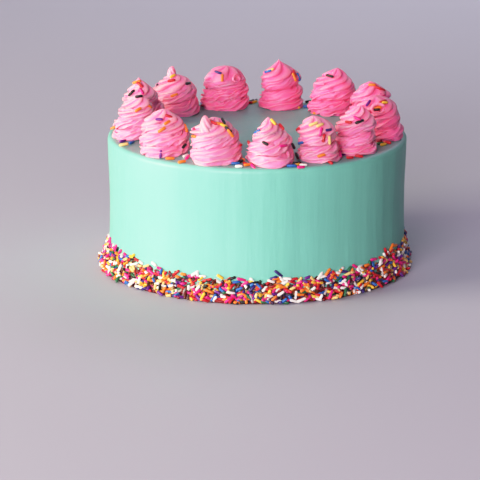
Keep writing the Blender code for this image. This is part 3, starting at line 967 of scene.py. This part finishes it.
def foot_scatter(cake, sizes, rng):
    """The bank round the foot: centres, directions, lengths, kinds and painted light of its
    sprinkles.

    Azimuths are even steps with a jitter, and shares of the height are golden steps to a power.
    A sprinkle's radius is the slope's plus a random layer, and it lies in the slope, mostly near
    level. A few are stuck above the bank, and some have rolled out at its foot.
    """
    count = sizes.foot_count
    azimuth = (np.arange(count) + rng.uniform(-0.4, 0.4, count)) / count * TURN
    share = (np.arange(count) * GOLDEN_STEP) % 1.0
    wave = BANK_RAGGED * ring_waves(azimuth, 31, (7, 13, 22, 37))
    ragged = 1 + (wave + rng.normal(0, BANK_RAGGED, count)) * share
    stray = rng.random(count) < STRAY_SHARE
    high = bank_height(sizes, azimuth)
    height = share**BANK_CROWDING * high * ragged * 1.06
    height = np.where(stray, high * rng.uniform(1.0, 1.2, count), height)
    on_bank = np.clip(height / high, 0, 1)
    layer = rng.random(count)
    lift_off = (LAYER_LOW + LAYER_DEPTH * layer) * (1 - 0.6 * on_bank**2)
    fallen = (rng.random(count) < FALLEN_SHARE) & (on_bank < 0.15)
    lift_off = lift_off + np.where(fallen, rng.uniform(0, FALLEN_REACH, count), 0.0)
    radius = bank_radius(cake, sizes, azimuth, on_bank) - BANK_SUNK * (1 - on_bank) + lift_off
    above = side_radius(cake, azimuth, height) + 0.55 * MM
    radius = np.where(on_bank >= 1, above, radius)
    steep = STEEP_FOOT + STEEP_GAIN * on_bank**2
    normals = outwards(azimuth) * np.sin(steep)[:, None]
    normals[:, 2] = np.cos(steep)
    askew = rng.random(count) < ASKEW_SHARE
    spin = np.where(askew, rng.uniform(0, math.pi, count), rng.normal(0, TURN_SPREAD, count))
    lift = rng.normal(0, LIFT_SPREAD, count) * (1 - 0.6 * (on_bank >= 1))
    directions = in_surface(normals, spin, lift)
    centres = outwards(azimuth) * radius[:, None]
    lengths = sizes.length * rng.uniform(0.72, 1.18, count)
    lowest = np.abs(directions[:, 2]) * lengths / 2 + sizes.radius
    centres[:, 2] = np.maximum(height, lowest * 0.98)
    weights = np.array([weight for _, weight in SPRINKLE_KINDS.values()])
    kind = rng.choice(len(weights), count, p=weights / weights.sum())
    # Painted shade: lower layers get less painted light; sprinkles above the bank get the full
    # light
    painted_light = np.where(height > high, 1, np.clip(2.6 * layer - 0.65, 0, 1))
    return centres, directions, lengths, kind, painted_light


def one_by_one(cake, sizes, rng):
    """The sprinkles of the two tables, each lying in the surface under it and sunk into it."""
    centres, normals, spins, kinds = [], [], [], []
    names = list(SPRINKLE_KINDS)
    for number, table in SWIRL_SPRINKLES.items():
        swirl = Swirl(number, cake.height)
        extra = [
            (rng.choice(names), rng.uniform(135, 225), rng.uniform(0.2, 0.75), rng.uniform(0, 180))
            for _ in range(FAR_SIDE_SPRINKLES)
        ]
        for kind, azimuth, share, spin in (*table, *extra):
            point, normal = swirl.spot(azimuth, share)
            centres.append(point + normal * 0.3 * MM)
            normals.append(normal)
            spins.append(spin)
            kinds.append(names.index(kind))
    for kind, across, back, spin, tip in TOP_SPRINKLES:
        out = outwards(math.atan2(across, -back))
        level, upright = math.sin(math.radians(tip)), math.cos(math.radians(tip))
        drop = sizes.radius - cake.edge_radius * (1 - upright)
        centres.append(np.array([across * MM, back * MM, cake.height + drop * 0.9]))
        normals.append(out * level + UP * upright)
        spins.append(spin)
        kinds.append(names.index(kind))
    count = len(centres)
    spins = np.radians(np.array(spins, float))
    directions = in_surface(np.array(normals), spins, np.zeros(count))
    lengths = sizes.length * rng.uniform(0.8, 1.1, count)
    return np.array(centres), directions, lengths, np.array(kinds), np.ones(count)


class CAKE_OT_sprinkles(bpy.types.Operator):
    """Scatter the sprinkles: round-ended rods on the foot, the top and the swirls"""

    bl_idname = "cake.sprinkles"
    bl_label = "Scatter the Sprinkles"

    def execute(self, context):
        sizes = context.scene.sprinkle_sizes
        cake = context.scene.cake_sizes
        rng = np.random.default_rng(sizes.seed)
        parts = [foot_scatter(cake, sizes, rng), one_by_one(cake, sizes, rng)]
        centres, directions, lengths, kind, painted_light = map(np.concatenate, zip(*parts))
        for index, (name, (colour, _)) in enumerate(SPRINKLE_KINDS.items()):
            mine = kind == index
            points, faces = rods(centres[mine], directions[mine], lengths[mine], sizes.radius)
            each = np.repeat(painted_light[mine], len(points) // mine.sum())
            material = sprinkle_finish(name, colour)
            piece = mesh_piece(f"sprinkles_{name}", points, faces, material, each)
            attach(piece, "root")
        return {"FINISHED"}


# The stage

LIT_POINT = Vector((0, 0, 0.05))
BEHIND_THE_CAKE = Vector((0.6, 1.5, 0))
FLOOR_HALF = 6.0

# The brightness that is shown as white, and the curve up to it
WHITE = 1.8
SHOULDER = ((0.167, 0.3), (0.333, 0.59), (0.439, 0.735), (0.556, 0.84), (0.8, 0.96))


def softbox(name, azimuth, elevation, distance, size, power, colour, target=None, spread=180):
    """A rectangular light in a direction and at a distance from the cake, aimed at a target."""
    light = bpy.data.lights.new(name, "AREA")
    light.shape = "RECTANGLE"
    light.size, light.size_y = size
    light.energy = power
    light.color = colour
    light.spread = math.radians(spread)
    box = bpy.data.objects.new(name, light)
    rise = math.radians(elevation)
    level = distance * math.cos(rise) * outwards(math.radians(azimuth))
    box.location = LIT_POINT + Vector(level) + Vector((0, 0, distance * math.sin(rise)))
    direction = (target or LIT_POINT) - box.location
    box.rotation_euler = direction.to_track_quat("-Z", "Y").to_euler()
    box.visible_camera = False
    bpy.context.scene.collection.objects.link(box)


def shoulder(view):
    """Roll the highlights off: straight up to 0.6, then bending over to reach white at 1.8."""
    view.use_curve_mapping = True
    mapping = view.curve_mapping
    mapping.white_level = (WHITE, WHITE, WHITE)
    for share, value in SHOULDER:
        mapping.curves[3].points.new(share, value)
    mapping.update()


class CAKE_OT_stage(bpy.types.Operator):
    """Set the floor, the lights and the camera"""

    bl_idname = "cake.stage"
    bl_label = "Set the Stage"

    def execute(self, context):
        scene = context.scene
        stage = scene.stage_settings
        scene.view_settings.view_transform = "Standard"
        shoulder(scene.view_settings)
        finish = Finish("floor_paint", Roughness=0.6)
        finish.set("Base Color", finish.mottled(finish.noise(0.6), stage.floor_colour, 0.02))
        corners = FLOOR_HALF * np.array([(-1, -1, 0), (1, -1, 0), (1, 1, 0), (-1, 1, 0)])
        floor = mesh_piece("floor", corners, [np.array([[0, 1, 2, 3]])], finish.material)
        key, fill, back = stage.key_power, stage.fill_power, stage.back_power
        softbox("key", -75, 12, 1.9, (1.0, 0.6), key, (1.0, 0.98, 0.70))
        softbox("front_fill", -19, 12, 2.4, (1.2, 0.6), fill, (1.0, 0.92, 0.93))
        softbox("side_fill", 48, 12, 2.4, (1.0, 0.6), fill * 0.02, (0.5, 0.65, 1.0))
        softbox("high_fill", -16, 30, 2.2, (1.0, 0.6), fill * 0.19, (1.0, 0.56, 0.82))
        softbox("top_fill", -90, 50, 2.0, (1.2, 1.2), fill * 0.12, (1.0, 0.58, 0.86))
        softbox("back_fill", 152, 40, 2.6, (1.4, 0.8), back * 0.95, (0.82, 0.80, 1.0))
        wash, pale = (2.2, 0.9), (0.95, 0.93, 1.0)
        softbox("floor_wash", 166, 30, 2.6, wash, back * 0.5, pale, BEHIND_THE_CAKE, spread=80)
        world = bpy.data.worlds.new("room")
        world.use_nodes = True
        world.node_tree.nodes["Background"].inputs["Color"].default_value = rgba(stage.sky_colour)
        world.cycles_visibility.diffuse = False
        scene.world = world
        camera_data = bpy.data.cameras.new("camera")
        camera_data.sensor_width = CAMERA_SENSOR
        camera_data.lens = CAMERA_LENS
        camera = bpy.data.objects.new("camera", camera_data)
        camera.location = (0, -CAMERA_DISTANCE, CAMERA_HEIGHT)
        camera.rotation_euler = (math.pi / 2 - CAMERA_PITCH, 0, CAMERA_YAW)
        scene.collection.objects.link(camera)
        scene.camera = camera
        return {"FINISHED"}


class CAKE_PT_panel(bpy.types.Panel):
    """The cake's sizes, colours and operators"""

    bl_idname = "CAKE_PT_panel"
    bl_label = "Birthday Cake"
    bl_space_type = "VIEW_3D"
    bl_region_type = "UI"
    bl_category = "Cake"

    def draw(self, context):
        for group in GROUPS:
            box = self.layout.box()
            settings = getattr(context.scene, group)
            for name in settings.bl_rna.properties.keys():
                if name not in ("rna_type", "name"):
                    box.prop(settings, name)
        for operator in OPERATORS:
            self.layout.operator(operator.bl_idname)


GROUPS = {
    "cake_sizes": CakeSizes,
    "swirl_sizes": SwirlSizes,
    "sprinkle_sizes": SprinkleSizes,
    "stage_settings": StageSettings,
}
OPERATORS = (CAKE_OT_icing, CAKE_OT_swirls, CAKE_OT_sprinkles, CAKE_OT_stage)
CLASSES = (*GROUPS.values(), *OPERATORS, CAKE_PT_panel)


def register():
    for cls in CLASSES:
        bpy.utils.register_class(cls)
    for name, cls in GROUPS.items():
        setattr(bpy.types.Scene, name, PointerProperty(type=cls))


def unregister():
    for name in GROUPS:
        delattr(bpy.types.Scene, name)
    for cls in reversed(CLASSES):
        bpy.utils.unregister_class(cls)


def main():
    register()
    bpy.ops.cake.icing()
    bpy.ops.cake.swirls()
    bpy.ops.cake.sprinkles()
    bpy.ops.cake.stage()


if __name__ == "__main__":
    main()
